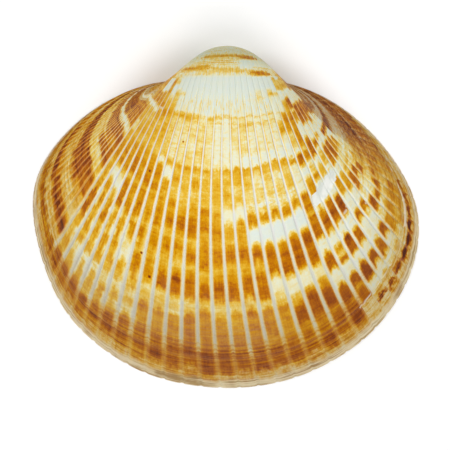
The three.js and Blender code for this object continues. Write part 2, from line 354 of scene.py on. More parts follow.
plateFront, plateHind, plateFade = inside["plateFront"], inside["plateHind"], inside["plateFade"]
plateMask = np.maximum(1 - smooth(plateFront - plateFade, plateFront + plateFade, columns),
                       smooth(plateHind - plateFade, plateHind + plateFade, columns))
ribEdge = 0.5 - np.abs(ribPhase(columns) % 1 - 0.5)
ribsHere = spanMask(inside["ribSpan"], columns)
notch = inside["crenulation"] * ribsHere * np.cos(2 * np.pi * ribEdge)
rimWidth = inside["rimWidth"] + inside["plateWidth"] * plateMask
recessZone = 1 - smooth(*inside["recessFront"], columns)
recessZone = np.maximum(recessZone, smooth(*inside["recessHind"], columns))

outerEdge = backPoints[-1, :, :2]
seats = columns + wander(columns, 0)
innerEdge = insetMargin(seats, rimWidth - notch)
rimShare = np.linspace(0, 1, inside["rimRows"])[:, None]
rimXY = outerEdge * (1 - rimShare[..., None]) + innerEdge * rimShare[..., None]
distance = rimShare * rimWidth
outerHeight, outerWidth = inside["outerRound"]
innerHeight, innerWidth = inside["innerRound"]
rounding = outerHeight * (1 - np.clip(distance / outerWidth, 0, 1)) ** 2
rounding = rounding + innerHeight * (1 - np.clip((rimWidth - distance) / innerWidth, 0, 1)) ** 2
recess = smooth(inside["recessInset"], inside["recessInset"] + 0.35, distance) * recessZone
rimZ = rounding * (1 - recess) + recess * inside["recess"]
for x, y, length, width, turn in inside["teeth"]:
    c, s = math.cos(math.radians(turn)), math.sin(math.radians(turn))
    dx, dy = rimXY[..., 0] - x, rimXY[..., 1] - y
    reach = np.hypot((dx * c + dy * s) / (length / 2), (dy * c - dx * s) / (width / 2))
    rimZ = rimZ - (rimZ - 0.15).clip(0) * (1 - smooth(0.55, 1.25, reach))
rimPoints = np.concatenate([rimXY, rimZ[..., None]], -1)

hollowRows = np.linspace(0, 1, inside["hollowRows"] + 1)[1:]
hollowPhi = np.radians(inside["stop"]) * hollowRows ** inside["rowSpread"]
end = (hollowPhi / math.radians(inside["stop"])) ** 9
hollowSize = np.exp(-growth["shrink"] * hollowPhi) * np.sqrt(np.clip(1 - end, 0, 1))
fade = 1 - smooth(0, math.radians(inside["crenulationFade"]), hollowPhi)
pole = np.array(inside["pole"])
across = insetMargin(seats[None, :], rimWidth[None, :] - notch[None, :] * fade[:, None]) - pole
size = hollowSize[:, None]
turnPhi = hollowPhi[:, None]
lift = inside["recess"] * recessZone[None, :] * (1 - smooth(0, math.radians(inside["recessFade"]), turnPhi))
edgeLift = innerHeight * (1 - recessZone) * (1 - smooth(0, math.radians(inside["edgeFade"]), turnPhi))
hollowZ = np.maximum(-size * across[..., 1] * np.sin(turnPhi), 0) + lift + edgeLift
hollowXY = [pole[0] + size * across[..., 0], pole[1] + size * across[..., 1] * np.cos(turnPhi)]
hollowPoints = np.stack([*hollowXY, hollowZ], -1)
insidePoints = np.concatenate([rimPoints, hollowPoints])
hollowShares = 1 - hollowPhi / math.radians(inside["stop"])
insideShares = np.concatenate([np.full(inside["rimRows"], 1.0), hollowShares])
valveInside = gridMesh("valveInside", placed(insidePoints), backLayers(insideShares))
print("inside", len(valveInside.data.polygons) * 2, "triangles")


# Materials: a colour in 0 to 255, as the shader wants it
def paint(*colour):
    return [((c / 255 + 0.055) / 1.055) ** 2.4 if c > 10 else c / 255 / 12.92 for c in colour] + [1]


def newFinish(name, look):
    finish = bpy.data.materials.new(name)
    finish.use_nodes = True
    shader = finish.node_tree.nodes["Principled BSDF"]
    for socket, value in look["shader"].items():
        shader.inputs[socket].default_value = value
    return finish, finish.node_tree, shader


# The node tree that the helpers below work on
tree = None


def addNode(kind, values=None, **settings):
    made = tree.nodes.new(kind)
    for key, value in settings.items():
        setattr(made, key, value)
    for key, value in (values or {}).items():
        if isinstance(value, bpy.types.NodeSocket):
            tree.links.new(value, made.inputs[key])
        else:
            made.inputs[key].default_value = value
    return made


def calc(operation, *values, clamp=False):
    node = addNode("ShaderNodeMath", dict(enumerate(values)), operation=operation, use_clamp=clamp)
    return node.outputs[0]


def rise(value, low, high):
    node = addNode("ShaderNodeMapRange", {0: value, 1: low, 2: high}, interpolation_type="SMOOTHSTEP")
    return node.outputs[0]


def blendValue(share, low, high):
    return calc("MULTIPLY_ADD", share, calc("SUBTRACT", high, low), low)


def blendColour(factor, first, second, mode="MIX"):
    values = {0: factor, 6: first, 7: second}
    return addNode("ShaderNodeMix", values, data_type="RGBA", blend_type=mode).outputs[2]


def splitVector(vector):
    return addNode("ShaderNodeSeparateXYZ", {0: vector}).outputs


def readMap(name):
    return splitVector(addNode("ShaderNodeUVMap", uv_map=name).outputs[0])


def joinVector(x, y, z=0.0):
    return addNode("ShaderNodeCombineXYZ", {0: x, 1: y, 2: z}).outputs[0]


def stretchedNoise(x, y, detail=2.0, rough=0.5):
    values = {"Vector": joinVector(x, y), "Scale": 1.0, "Detail": detail, "Roughness": rough}
    return addNode("ShaderNodeTexNoise", values, noise_dimensions="2D").outputs[0]


def colourRamp(value, stops):
    ramp = addNode("ShaderNodeValToRGB", {0: value})
    elements = ramp.color_ramp.elements
    while len(elements) < len(stops):
        elements.new(0.5)
    for element, (position, colour) in zip(elements, stops):
        element.position, element.color = position, paint(*colour)
    return ramp.outputs[0]


def minus(first, second):
    return calc("SUBTRACT", first, second)


def fused(value, factor, base):
    return calc("MULTIPLY_ADD", value, factor, base)


def vary(noise, amount, base):
    return fused(minus(noise, 0.5), amount, base)


def scaled(value, factor):
    return calc("MULTIPLY", value, factor)


def without(value, mask):
    return scaled(value, minus(1.0, mask))


# Noise over the shell: how many spots along the margin and in growth
def shellNoise(alongCount, grownCount, detail=2.0, rough=0.5):
    return stretchedNoise(scaled(along, alongCount), scaled(grown, grownCount), detail, rough)


# One mark over what was there before
def addMark(name, spot, before, centre, outer, inner, pigment, strength=1.0):
    values = {"place": spot, "before": before, "centre": (*centre, 0), "outerReach": (*outer, 1),
              "innerReach": (*inner, 0), "strength": strength, "pigment": pigment}
    return addNode("ShaderNodeGroup", values, node_tree=markGroup, label=name).outputs["after"]


def growthLines(name, count):
    values = {"along": along, "grown": grown, "count": count}
    return addNode("ShaderNodeGroup", values, node_tree=linesGroup, label=name).outputs[0]


def newGroup(name, inputs, outputs):
    group = bpy.data.node_groups.new(name, "ShaderNodeTree")
    for label, kind in inputs:
        group.interface.new_socket(name=label, in_out="INPUT", socket_type=kind)
    for label, kind in outputs:
        group.interface.new_socket(name=label, in_out="OUTPUT", socket_type=kind)
    return group, group.nodes.new("NodeGroupInput").outputs, group.nodes.new("NodeGroupOutput").inputs


# One mark of the pattern: a soft window in place along the margin and in growth
markGroup, given, result = newGroup("growthMark", [
    ("place", "NodeSocketVector"), ("centre", "NodeSocketVector"), ("outerReach", "NodeSocketVector"),
    ("innerReach", "NodeSocketVector"), ("strength", "NodeSocketFloat"), ("before", "NodeSocketVector"),
    ("pigment", "NodeSocketVector")], [("after", "NodeSocketVector")])
tree = markGroup
# the place is taken by way of the earlier marks, so that they are worked out one after another
ordered = addNode("ShaderNodeVectorMath", {0: given["before"], 1: (1e-6, 1e-6, 1e-6), 2: given["place"]},
                  operation="MULTIPLY_ADD")
away = addNode("ShaderNodeVectorMath", {0: ordered.outputs[0], 1: given["centre"]}, operation="SUBTRACT")
away = addNode("ShaderNodeVectorMath", {0: away.outputs[0]}, operation="ABSOLUTE").outputs[0]
window = addNode("ShaderNodeMapRange", {6: away, 7: given["outerReach"], 8: given["innerReach"]},
                 data_type="FLOAT_VECTOR", interpolation_type="SMOOTHSTEP")
window = splitVector(window.outputs[1])
cover = calc("MULTIPLY", calc("MULTIPLY", window[0], window[1]), given["strength"])
mixed = addNode("ShaderNodeMix", {0: cover, 4: given["before"], 5: given["pigment"]}, data_type="VECTOR")
markGroup.links.new(mixed.outputs[1], result["after"])

# Fine lines of growth, for colour and relief
linesGroup, given, result = newGroup("growthLines", [
    ("along", "NodeSocketFloat"), ("grown", "NodeSocketFloat"), ("count", "NodeSocketFloat")],
    [("height", "NodeSocketFloat")])
tree = linesGroup
coarse = stretchedNoise(calc("MULTIPLY", given["along"], 14.0),
                        calc("MULTIPLY", given["grown"], given["count"]), 3.0, 0.65)
linesGroup.links.new(coarse, result["height"])

# The pattern: how full the dye is, from white over yellow and ochre to dark brown, rib by rib
pattern = {
    "ground": (0.5, 0.25, 0.0),     # dye, how much net, horn
    "soft": 0.32, "fade": 0.009, "net": 0.25,
    # how far the ends of marks stray from rib to rib and by noise, and come earlier on a rib's crown
    "jitter": 0.009, "ragged": 0.012, "arch": 0.007,
    "pits": [(0.4400, 0.5773), (0.4095, 0.8173), (0.4245, 0.8493), (0.388, 0.667)],
    "pitOuter": (0.0026, 0.0032), "pitInner": (0.0006, 0.0008),
    # name, first and last rib, start and end in growth, dye; then how soft it is along the
    # margin and how it fades in growth, how much net, how much horn and how strong
    "marks": [
        ("belly", 31, 51, 0.50, 0.96, 0.55),
        ("frontField", -5, 30, 0.3, 1.1, 0.52, {"horn": 0.3, "soft": 1}),
        ("hindField", 57, 85, 0.5, 1.1, 0.5, {"horn": 0.35, "soft": 1.5}),
        ("hindShoulder", 58, 85, 0.1, 0.5, 0.5, {"horn": 0.7, "soft": 1.5}),
        ("slope", 63, 85, 0.1, 1.1, 0.46, {"horn": 0.9, "soft": 2, "fade": 0.02}),
        ("slopeStreakHigh", 60, 85, 0.37, 0.44, 0.62, {"horn": 0.7, "soft": 1.5, "fade": 0.01}),
        ("slopeLight", 61, 85, 0.45, 0.495, 0.26, {"horn": 0.9, "soft": 1.5, "fade": 0.012}),
        ("slopeStreakMiddle", 61, 85, 0.505, 0.58, 0.70, {"horn": 0.8, "soft": 1.5, "fade": 0.015}),
        ("slopePale", 60, 85, 0.60, 0.645, 0.10, {"horn": 0.9, "soft": 1.5, "fade": 0.01}),
        ("slopeStreakDark", 60, 85, 0.652, 0.695, 0.84, {"horn": 0.85, "soft": 1.5, "fade": 0.01}),
        ("slopeLightLow", 61, 74, 0.705, 0.775, 0.22, {"horn": 0.9, "soft": 2.5, "fade": 0.014}),
        ("slopePurple", 65, 85, 0.79, 0.88, 0.84, {"horn": 1.0, "soft": 2.5, "fade": 0.02}),
        ("slopeLow", 64, 85, 0.89, 1.1, 0.70, {"horn": 0.8, "soft": 2, "fade": 0.012}),
        # beak
        ("beakTip", -5, 85, -4, 0.20, 0.05, {"net": 0.9, "horn": 0.12, "fade": 0.012}),
        ("beakTipFront", -5, 16, -4, 0.20, 0.34, {"horn": 0.55, "soft": 5, "fade": 0.02}),
        ("beakTipHind", 72, 85, -4, 0.20, 0.38, {"horn": 0.65, "soft": 5, "fade": 0.02}),
        ("beak", 34, 56, 0.20, 0.36, 0.15, {"net": 0.9, "soft": 1.5}),
        ("beakBand", 40, 51, 0.213, 0.240, 0.52, {"net": 1.0, "fade": 0.012}),
        ("beakBandDark", 48, 51, 0.207, 0.246, 0.66, {"soft": 0.8, "net": 0.8}),
        ("beakLineA", 40, 50, 0.250, 0.255, 0.44, {"fade": 0.004, "soft": 1.5}),
        ("beakLineB", 39, 50, 0.262, 0.267, 0.40, {"fade": 0.004, "soft": 1.5}),
        ("beakLineC", 39, 50, 0.275, 0.281, 0.46, {"fade": 0.004, "soft": 1.5}),
        ("beakLineD", 42, 50, 0.289, 0.294, 0.42, {"fade": 0.004, "soft": 1.5}),
        ("beakLineHind", 51, 57, 0.294, 0.304, 0.50, {"fade": 0.006}),
        ("saddleBand", 35, 41, 0.290, 0.324, 0.54, {"net": 1.0, "fade": 0.012}),
        ("saddleBandMiddle", 42, 49, 0.305, 0.338, 0.30, {"soft": 1.5, "net": 1.0, "fade": 0.012}),
        ("beakGap", 48, 50, 0.252, 0.315, 0.03, {"soft": 0.8, "fade": 0.01}),
        ("beakGapHind", 51, 57, 0.245, 0.30, 0.10, {"soft": 1, "fade": 0.01}),
        ("saddleBandHind", 50, 53, 0.324, 0.356, 0.70, {"soft": 0.8}),
        # the white saddle
        ("saddle", 36, 57, 0.352, 0.50, 0.02, {"net": 0.0}),
        ("saddleEdge", 36, 53, 0.44, 0.50, 0.07, {"net": 1.0, "fade": 0.03}),
        ("saddleTopFront", 36, 36, 0.345, 0.40, 0.34, {"soft": 0.8, "fade": 0.012}),
        ("frontSaddle", 33, 34, 0.36, 0.45, 0.05),
        ("ribAboveCrackA", 32, 32, 0.375, 0.508, 0.56),
        ("ribAboveCrackB", 33, 33, 0.455, 0.508, 0.60),
        ("ribAboveCrackC", 34, 34, 0.443, 0.508, 0.60),
        ("ribAboveCrackD", 35, 35, 0.375, 0.508, 0.53),
        ("ribAboveArcA", 36, 36, 0.455, 0.51, 0.42, {"soft": 0.6, "fade": 0.02}),
        ("ribAboveArcB", 37, 37, 0.425, 0.50, 0.34, {"soft": 0.6, "fade": 0.016}),
        ("ribAboveArcC", 38, 38, 0.428, 0.444, 0.27, {"soft": 0.8}),
        ("hindSaddleA", 52, 52, 0.42, 0.492, 0.34, {"soft": 0.7, "fade": 0.016}),
        ("hindSaddleThin", 50, 50, 0.42, 0.46, 0.24, {"soft": 0.7, "fade": 0.016}),
        ("hindSaddleB", 53, 53, 0.43, 0.458, 0.34),
        ("hindSaddleC", 54, 54, 0.36, 0.425, 0.40, {"fade": 0.01}),
        ("hindSaddleD", 55, 55, 0.375, 0.435, 0.42, {"fade": 0.01}),
        ("hindSaddleE", 56, 57, 0.335, 0.43, 0.46, {"fade": 0.01}),
        # white ground of the hind ribs
        ("hindGround", 52, 61, 0.445, 0.955, 0.08, {"soft": 0.5, "fade": 0.01, "net": 0.45}),
        ("hindGroundWarm", 58, 62, 0.72, 0.955, 0.20, {"soft": 1, "fade": 0.01, "net": 0.8}),
        ("hindRust", 61.5, 64, 0.79, 0.957, 0.62, {"horn": 0.35, "net": 1.0, "soft": 2, "fade": 0.014}),
        ("hindRustLow", 59, 63, 0.905, 0.957, 0.50, {"horn": 0.15, "net": 1.0, "soft": 2, "fade": 0.014}),
        # arc below the saddle and the pale field under it
        ("paleFront", 38, 42, 0.50, 0.629, 0.20, {"net": 0.5, "soft": 1.8, "fade": 0.012}),
        ("paleMiddle", 43, 46, 0.498, 0.63, 0.09, {"net": 0.45, "soft": 1.8, "fade": 0.012}),
        ("paleHind", 47, 52, 0.498, 0.60, 0.15, {"net": 0.5, "soft": 1.5, "fade": 0.012}),
        ("paleHindLow", 46, 52, 0.598, 0.631, 0.05, {"net": 0.4, "soft": 1}),
        ("arcFront", 36, 37, 0.493, 0.521, 0.52, {"soft": 0.6}),
        ("arcFrontLow", 38, 41, 0.499, 0.519, 0.47, {"soft": 1, "net": 0.7}),
        ("arc", 42, 46, 0.500, 0.512, 0.34, {"net": 1.0, "soft": 1.5, "fade": 0.006}),
        ("arcLine", 47, 52, 0.5025, 0.5055, 0.34, {"net": 0.8, "soft": 1.5, "fade": 0.003}),
        ("arcLineLow", 42, 51, 0.519, 0.5225, 0.30, {"net": 0.8, "soft": 1.5, "fade": 0.003}),
        ("arcHind", 47, 50, 0.523, 0.530, 0.36, {"net": 0.9, "soft": 1.2, "fade": 0.006}),
        ("frontYellow", 32, 37, 0.538, 0.628, 0.42, {"fade": 0.014, "net": 0.5, "soft": 1}),
        ("frontPaleCell", 32, 32, 0.592, 0.622, 0.2),
        ("brownArc", 37, 51, 0.631, 0.637, 0.54, {"soft": 0.8, "fade": 0.004}),
        ("brownArcHind", 50, 52, 0.635, 0.648, 0.64, {"fade": 0.006}),
        # under the arc: ochre in front, small pale cells behind
        ("ochreFront", 32, 38, 0.657, 0.70, 0.58, {"fade": 0.008}),
        ("goldMiddle", 40, 46, 0.640, 0.70, 0.38, {"net": 0.6, "soft": 1.5, "fade": 0.012}),
        ("whiteCellA", 38, 38, 0.634, 0.647, 0.05),
        ("whiteCellB", 39, 39, 0.642, 0.672, 0.08),
        ("cellsMiddle", 47, 51, 0.645, 0.72, 0.28, {"net": 0.6, "soft": 1.5, "fade": 0.012}),
        ("paleLine", 32, 47, 0.70, 0.709, 0.36, {"strength": 0.85}),
        ("frontPatch", 33, 34, 0.712, 0.742, 0.14),
        ("ochreMiddle", 35, 44, 0.735, 0.768, 0.60),
        ("paleTop", 45, 46, 0.708, 0.735, 0.1),
        ("paleTopFront", 44, 44, 0.70, 0.72, 0.32),
        ("paleLow", 47, 51, 0.70, 0.722, 0.24, {"net": 0.9}),
        ("squareSmall", 47, 51, 0.726, 0.742, 0.58, {"fade": 0.007}),
        ("whiteWindow", 47, 51, 0.742, 0.779, 0.02, {"net": 0.0}),
        ("paleLineLow", 33, 46, 0.766, 0.775, 0.40, {"strength": 0.8}),
        # right of the window
        ("darkOchre", 33, 46, 0.778, 0.808, 0.61, {"fade": 0.008}),
        ("darkHind", 47, 51, 0.795, 0.838, 0.72),
        ("paleRow", 33, 47, 0.811, 0.823, 0.40),
        ("brownRow", 34, 39, 0.843, 0.864, 0.50),
        ("brownRowMiddle", 40, 47, 0.838, 0.867, 0.73),
        ("paleCellFront", 37, 37, 0.815, 0.842, 0.22),
        ("paleCellMiddle", 48, 51, 0.842, 0.872, 0.14),
        ("squareB1", 52, 53, 0.842, 0.874, 0.70),
        ("hollowB", 53, 53, 0.852, 0.864, 0.3),
        ("paleBand", 31, 48, 0.868, 0.885, 0.28),
        # squares and patches on the hind ribs, rib by rib
        ("hindB1", 52, 52, 0.53, 0.575, 0.46), ("hindB2", 52, 52, 0.72, 0.757, 0.62),
        ("hindB3", 52, 52, 0.762, 0.812, 0.68), ("hindC1", 53, 53, 0.515, 0.58, 0.60),
        ("hindC2", 53, 53, 0.59, 0.62, 0.34), ("hindC3", 53, 53, 0.638, 0.66, 0.72),
        ("hindC4", 53, 53, 0.692, 0.748, 0.54), ("hindC5", 53, 53, 0.77, 0.818, 0.70),
        ("hindD1", 54, 54, 0.475, 0.515, 0.50), ("hindD2", 54, 54, 0.515, 0.63, 0.60),
        ("hindD3", 54, 54, 0.636, 0.66, 0.68), ("hindD4", 54, 54, 0.665, 0.69, 0.28, {"net": 0.9}),
        ("hindD5", 54, 54, 0.695, 0.72, 0.62), ("hindD6", 54, 54, 0.76, 0.815, 0.73),
        ("hindE1", 55, 55, 0.465, 0.512, 0.72), ("hindE2", 55, 55, 0.52, 0.563, 0.60),
        ("hindE3", 55, 55, 0.618, 0.668, 0.73), ("hindE4", 55, 55, 0.692, 0.72, 0.48),
        ("hindE5", 55, 55, 0.77, 0.812, 0.80), ("hindDE", 54, 55, 0.847, 0.878, 0.76),
        ("hindF1", 56, 56, 0.50, 0.58, 0.74), ("hindF2", 56, 56, 0.635, 0.662, 0.68),
        ("hindF3", 56, 56, 0.675, 0.725, 0.32, {"net": 0.9}), ("hindF4", 56, 56, 0.755, 0.79, 0.54),
        ("hindF5", 56, 56, 0.84, 0.86, 0.68), ("hindF6", 56, 56, 0.905, 0.935, 0.72),
        ("hindG1", 57, 57, 0.502, 0.585, 0.72), ("hindG2", 57, 57, 0.632, 0.652, 0.50),
        ("hindG3", 57, 57, 0.676, 0.722, 0.67), ("hindG4", 57, 57, 0.756, 0.80, 0.54),
        ("hindG5", 57, 57, 0.84, 0.86, 0.70), ("hindG6", 57, 57, 0.90, 0.926, 0.74),
        ("hindH1", 58, 58, 0.51, 0.60, 0.68), ("hindH2", 58, 58, 0.672, 0.73, 0.71),
        ("hindH3", 58, 58, 0.778, 0.82, 0.72), ("hindH4", 58, 58, 0.854, 0.885, 0.74),
        ("hindH5", 58, 58, 0.91, 0.938, 0.60), ("hindLine", 57, 60, 0.762, 0.768, 0.44),
        ("hindI1", 59, 59, 0.505, 0.575, 0.70), ("hindI2", 59, 59, 0.64, 0.668, 0.76),
        ("hindI3", 59, 59, 0.676, 0.72, 0.60), ("hindI4", 59, 59, 0.785, 0.82, 0.70),
        ("hindI5", 59, 59, 0.864, 0.886, 0.74), ("hindI6", 59, 59, 0.914, 0.94, 0.60),
        ("hindJ1", 60, 61, 0.52, 0.59, 0.66, {"horn": 0.4}), ("hindJ2", 60, 61, 0.65, 0.675, 0.80),
        ("hindJ3", 60, 60, 0.70, 0.73, 0.50), ("hindJ4", 60, 60, 0.80, 0.83, 0.72),
        ("hindJ5", 60, 60, 0.87, 0.89, 0.72), ("hindJ6", 60, 61, 0.925, 0.945, 0.60),
        ("hindK1", 61, 61, 0.787, 0.803, 0.55),
        ("hindK2", 61, 62, 0.862, 0.876, 0.72, {"net": 0.9, "horn": 0.3, "soft": 0.8, "fade": 0.01}),
        # last bands before the margin
        ("orangeRibs", 39, 48, 0.888, 0.95, 0.60, {"fade": 0.008}),
        ("goldFront", 31, 38, 0.868, 0.942, 0.46, {"fade": 0.012, "net": 0.8}),
        ("paleLineFront", 33, 41, 0.884, 0.896, 0.14, {"strength": 0.75, "fade": 0.006}),
        ("whiteLow", 38, 38, 0.902, 0.93, 0.16, {"strength": 0.8, "fade": 0.01}),
        ("squareC1", 49, 51, 0.888, 0.928, 0.77),
        ("squareC2", 52, 55, 0.905, 0.932, 0.80),
        ("goldLow", 39, 49, 0.928, 0.944, 0.55),
        ("marginDusk", 31, 53, 0.928, 0.985, 0.66, {"fade": 0.014}),
        ("marginDark", 31, 53, 0.944, 0.976, 0.76, {"fade": 0.009}),
        ("marginFront", 31, 40, 0.934, 0.978, 0.70, {"fade": 0.009}),
        ("marginTan", -5, 85, 0.980, 1.1, 0.46, {"horn": 0.4, "fade": 0.005}),
        ("marginOlive", 53, 68, 0.958, 1.1, 0.33, {"horn": 0.35, "soft": 0.6, "fade": 0.005}),
        ("marginSpotA", 54.15, 53.85, 0.966, 0.973, 0.90, {"soft": 0.3, "fade": 0.004}),
        ("marginSpotB", 55.2, 54.8, 0.977, 0.984, 0.84, {"soft": 0.3, "fade": 0.004}),
        ("marginSpotC", 56.1, 55.9, 0.967, 0.978, 0.92, {"soft": 0.3, "fade": 0.005}),
        ("marginSpotD", 57.1, 56.9, 0.973, 0.986, 0.92, {"soft": 0.3, "fade": 0.004}),
        ("marginSpotE", 58.15, 57.85, 0.970, 0.981, 0.94, {"soft": 0.3, "fade": 0.004}),
        ("marginSpotF", 59.1, 58.9, 0.975, 0.987, 0.92, {"soft": 0.3, "fade": 0.004}),
        ("marginSpotG", 60.1, 59.9, 0.974, 0.986, 0.90, {"soft": 0.3, "fade": 0.004}),
        ("marginSpotH", 61.2, 60.8, 0.969, 0.982, 0.84, {"soft": 0.3, "fade": 0.005}),
        ("marginSpotI", 62.2, 61.8, 0.968, 0.977, 0.78, {"soft": 0.4, "fade": 0.005}),
        # front end
        ("frontLilac", 4, 30, 0.46, 0.50, 0.30, {"horn": 0.7, "soft": 1, "fade": 0.012}),
        ("frontCrack", 4, 34, 0.508, 0.53, 0.05, {"soft": 0.8}),
        ("frontLilacLow", 4, 29, 0.53, 0.552, 0.30, {"horn": 0.6, "soft": 1, "fade": 0.01}),
        ("frontRedA", 4, 25, 0.556, 0.64, 0.78, {"soft": 1, "fade": 0.012, "horn": 0.4}),
        ("frontOrangeA", 26, 31, 0.545, 0.635, 0.68, {"soft": 0.6}),
        ("frontWhiteB", 6, 31, 0.632, 0.655, 0.07, {"soft": 0.8}),
        ("frontRedB", 6, 25, 0.658, 0.70, 0.76, {"soft": 1, "fade": 0.008}),
        ("frontOrangeB", 26, 31, 0.66, 0.745, 0.72, {"soft": 0.5}),
        ("frontGoldB", 17, 25, 0.705, 0.75, 0.38, {"soft": 0.8}),
        ("frontPaleA", 8, 31, 0.75, 0.782, 0.34, {"soft": 1, "fade": 0.01}),
        ("frontDark", 4, 28, 0.785, 0.842, 0.84, {"fade": 0.008, "soft": 0.6}),
        ("frontDarkRibs", 29, 32, 0.79, 0.84, 0.76),
        ("frontPaleB", 4, 31, 0.848, 0.882, 0.40, {"fade": 0.008, "horn": 0.3}),
        ("frontBrownLow", 6, 31, 0.886, 0.918, 0.72, {"fade": 0.008}),
        ("frontSpotsA", 18, 24, 0.90, 0.914, 0.95),
        ("frontSpotsB", 26, 31, 0.897, 0.908, 0.94),
        ("frontLowGold", 4, 31, 0.924, 0.948, 0.42, {"fade": 0.008, "horn": 0.3}),
        ("frontLowBrown", 14, 33, 0.952, 0.974, 0.70),
    ],
}

backLook = {
    "shader": {"Specular IOR Level": 0.1, "Specular Tint": (1.0, 0.72, 0.4, 1),
               "Coat Weight": 0.01, "Coat Roughness": 0.12},
    "roughness": 0.36, "chipRoughness": 0.35, "bump": 0.35, "bumpHeight": 0.0002,
}
valveColour, tree, shader = newFinish("valveBackFinish", backLook)

growthMap, ribMap, wearMap = readMap("growthMap"), readMap("ribMap"), readMap("wearMap")
along, grown = growthMap[0], growthMap[1]
rib = calc("MULTIPLY", ribMap[1], 100.0)
edge = minus(0.5, calc("ABSOLUTE", minus(ribMap[0], 0.5)))

# Every rib's marks start and end a little differently, and young growth is blotched
ribOwn = stretchedNoise(scaled(rib, 17.17), scaled(grown, 13.0), 1.0)
ragged = shellNoise(240.0, 120.0)
scatter = minus(ribOwn, 0.5)
scatter = scaled(scatter, rise(grown, 0.2, 0.6))
place = fused(scatter, pattern["jitter"] * 2, vary(ragged, pattern["ragged"], grown))
arch = scaled(rise(edge, 0.0, 0.45), rise(grown, 0.4, 0.75))
arch = scaled(arch, scaled(rise(stretchedNoise(scaled(rib, 9.7), scaled(grown, 17.0), 0.0), 0.3, 0.7), 1.5))
place = fused(arch, pattern["arch"], place)
young = minus(1.0, rise(grown, 0.32, 0.41))
loose = shellNoise(70.0, 60.0, 3.0, 0.6)
loose = fused(minus(loose, 0.5), 5.0, minus(ribMap[0], 0.5))
place = joinVector(fused(loose, young, rib), place)

state = joinVector(*pattern["ground"])
for name, firstRib, lastRib, start, end, dye, *extra in pattern["marks"]:
    extra = extra[0] if extra else {}
    soft, fade = extra.get("soft", pattern["soft"]), extra.get("fade", pattern["fade"])
    halfRibs, halfGrown = (lastRib - firstRib + 1) / 2, (end - start) / 2
    pigment = (dye, extra.get("net", pattern["net"]), extra.get("horn", 0.0))
    state = addMark(name, place, state, ((firstRib + lastRib) / 2, (start + end) / 2),
                    (halfRibs + soft, halfGrown + fade), (halfRibs - soft, halfGrown - fade),
                    pigment, extra.get("strength", 1.0))
dye, mottle, horn = splitVector(state)

# The dye varies by blocks on each rib, by growth bands, by fine lines along the ribs and by flecks
third = calc("FLOOR", fused(ribMap[0], 4.0, scaled(rib, 4.0)))
block = stretchedNoise(scaled(rib, 31.7), scaled(grown, 40.0), 1.0)
band = shellNoise(6.0, 46.0, 3.0, 0.6)
cell = stretchedNoise(scaled(third, 7.31), scaled(grown, 150.0), 1.0)
stripe = shellNoise(420.0, 9.0, 1.0)
fineLine = shellNoise(16.0, 430.0, 2.0, 0.6)
fleck = shellNoise(560.0, 330.0, 1.0)
cloud = shellNoise(55.0, 40.0)
variation = 0.0
for noise, amount in [(cloud, 0.26), (fleck, 0.16), (fineLine, 0.12), (stripe, 0.14), (cell, 0.2),
                      (band, 0.26), (block, 0.32)]:
    variation = vary(noise, amount, variation)
liveliness = fused(rise(dye, 0.03, 0.3), 0.85, 0.1)
liveliness = scaled(liveliness, minus(1.0, scaled(rise(dye, 0.6, 0.9), 0.35)))
dye = fused(variation, liveliness, dye)
dye = scaled(dye, fused(rise(edge, 0.08, 0.3), 0.16, 0.86))

# A net of thin lines and dashes in the paler parts
thinLine = rise(shellNoise(330.0, 11.0, 1.0), 0.5, 0.64)
dash = rise(shellNoise(95.0, 130.0), 0.36, 0.76)
ray = rise(shellNoise(420.0, 34.0, 1.0), 0.46, 0.72)
dash = blendValue(rise(grown, 0.53, 0.49), dash, ray)
net = calc("MAXIMUM", scaled(thinLine, 0.6), dash)
net = scaled(minus(net, 0.34), fused(mottle, 0.32, -0.03))
dye = calc("ADD", dye, without(net, rise(dye, 0.25, 0.5)))
# Faint growth rings on the tip of the beak
ring = rise(shellNoise(9.0, 75.0), 0.42, 0.68)
ring = scaled(ring, rise(grown, 0.21, 0.17))
dye = fused(ring, 0.2, dye)
ends = calc("MAXIMUM", rise(along, 0.31, 0.25), rise(along, 0.72, 0.79))
endLines = shellNoise(10.0, 95.0, 4.0, 0.7)
dye = fused(minus(endLines, 0.5), scaled(ends, 0.75), dye)
streaked = shellNoise(9.0, 330.0, 3.0, 0.7)
dye = fused(minus(streaked, 0.5), scaled(rise(grown, 0.90, 0.96), 0.8), dye)

# Thin yellow lines beside the grooves where the shell is pale
ribSide = without(rise(edge, 0.05, 0.12), rise(edge, 0.13, 0.24))
paleLines = rise(vary(fleck, 0.3, vary(ribOwn, 0.1, grown)), 0.40, 0.52)
paleLines = scaled(paleLines, without(ribSide, rise(dye, 0.3, 0.5)))
paleLines = scaled(paleLines, without(rise(vary(stripe, 0.8, 0.5), 0.25, 0.55), rise(grown, 0.64, 0.66)))
dye = calc("MULTIPLY_ADD", paleLines, 0.2, dye, clamp=True)

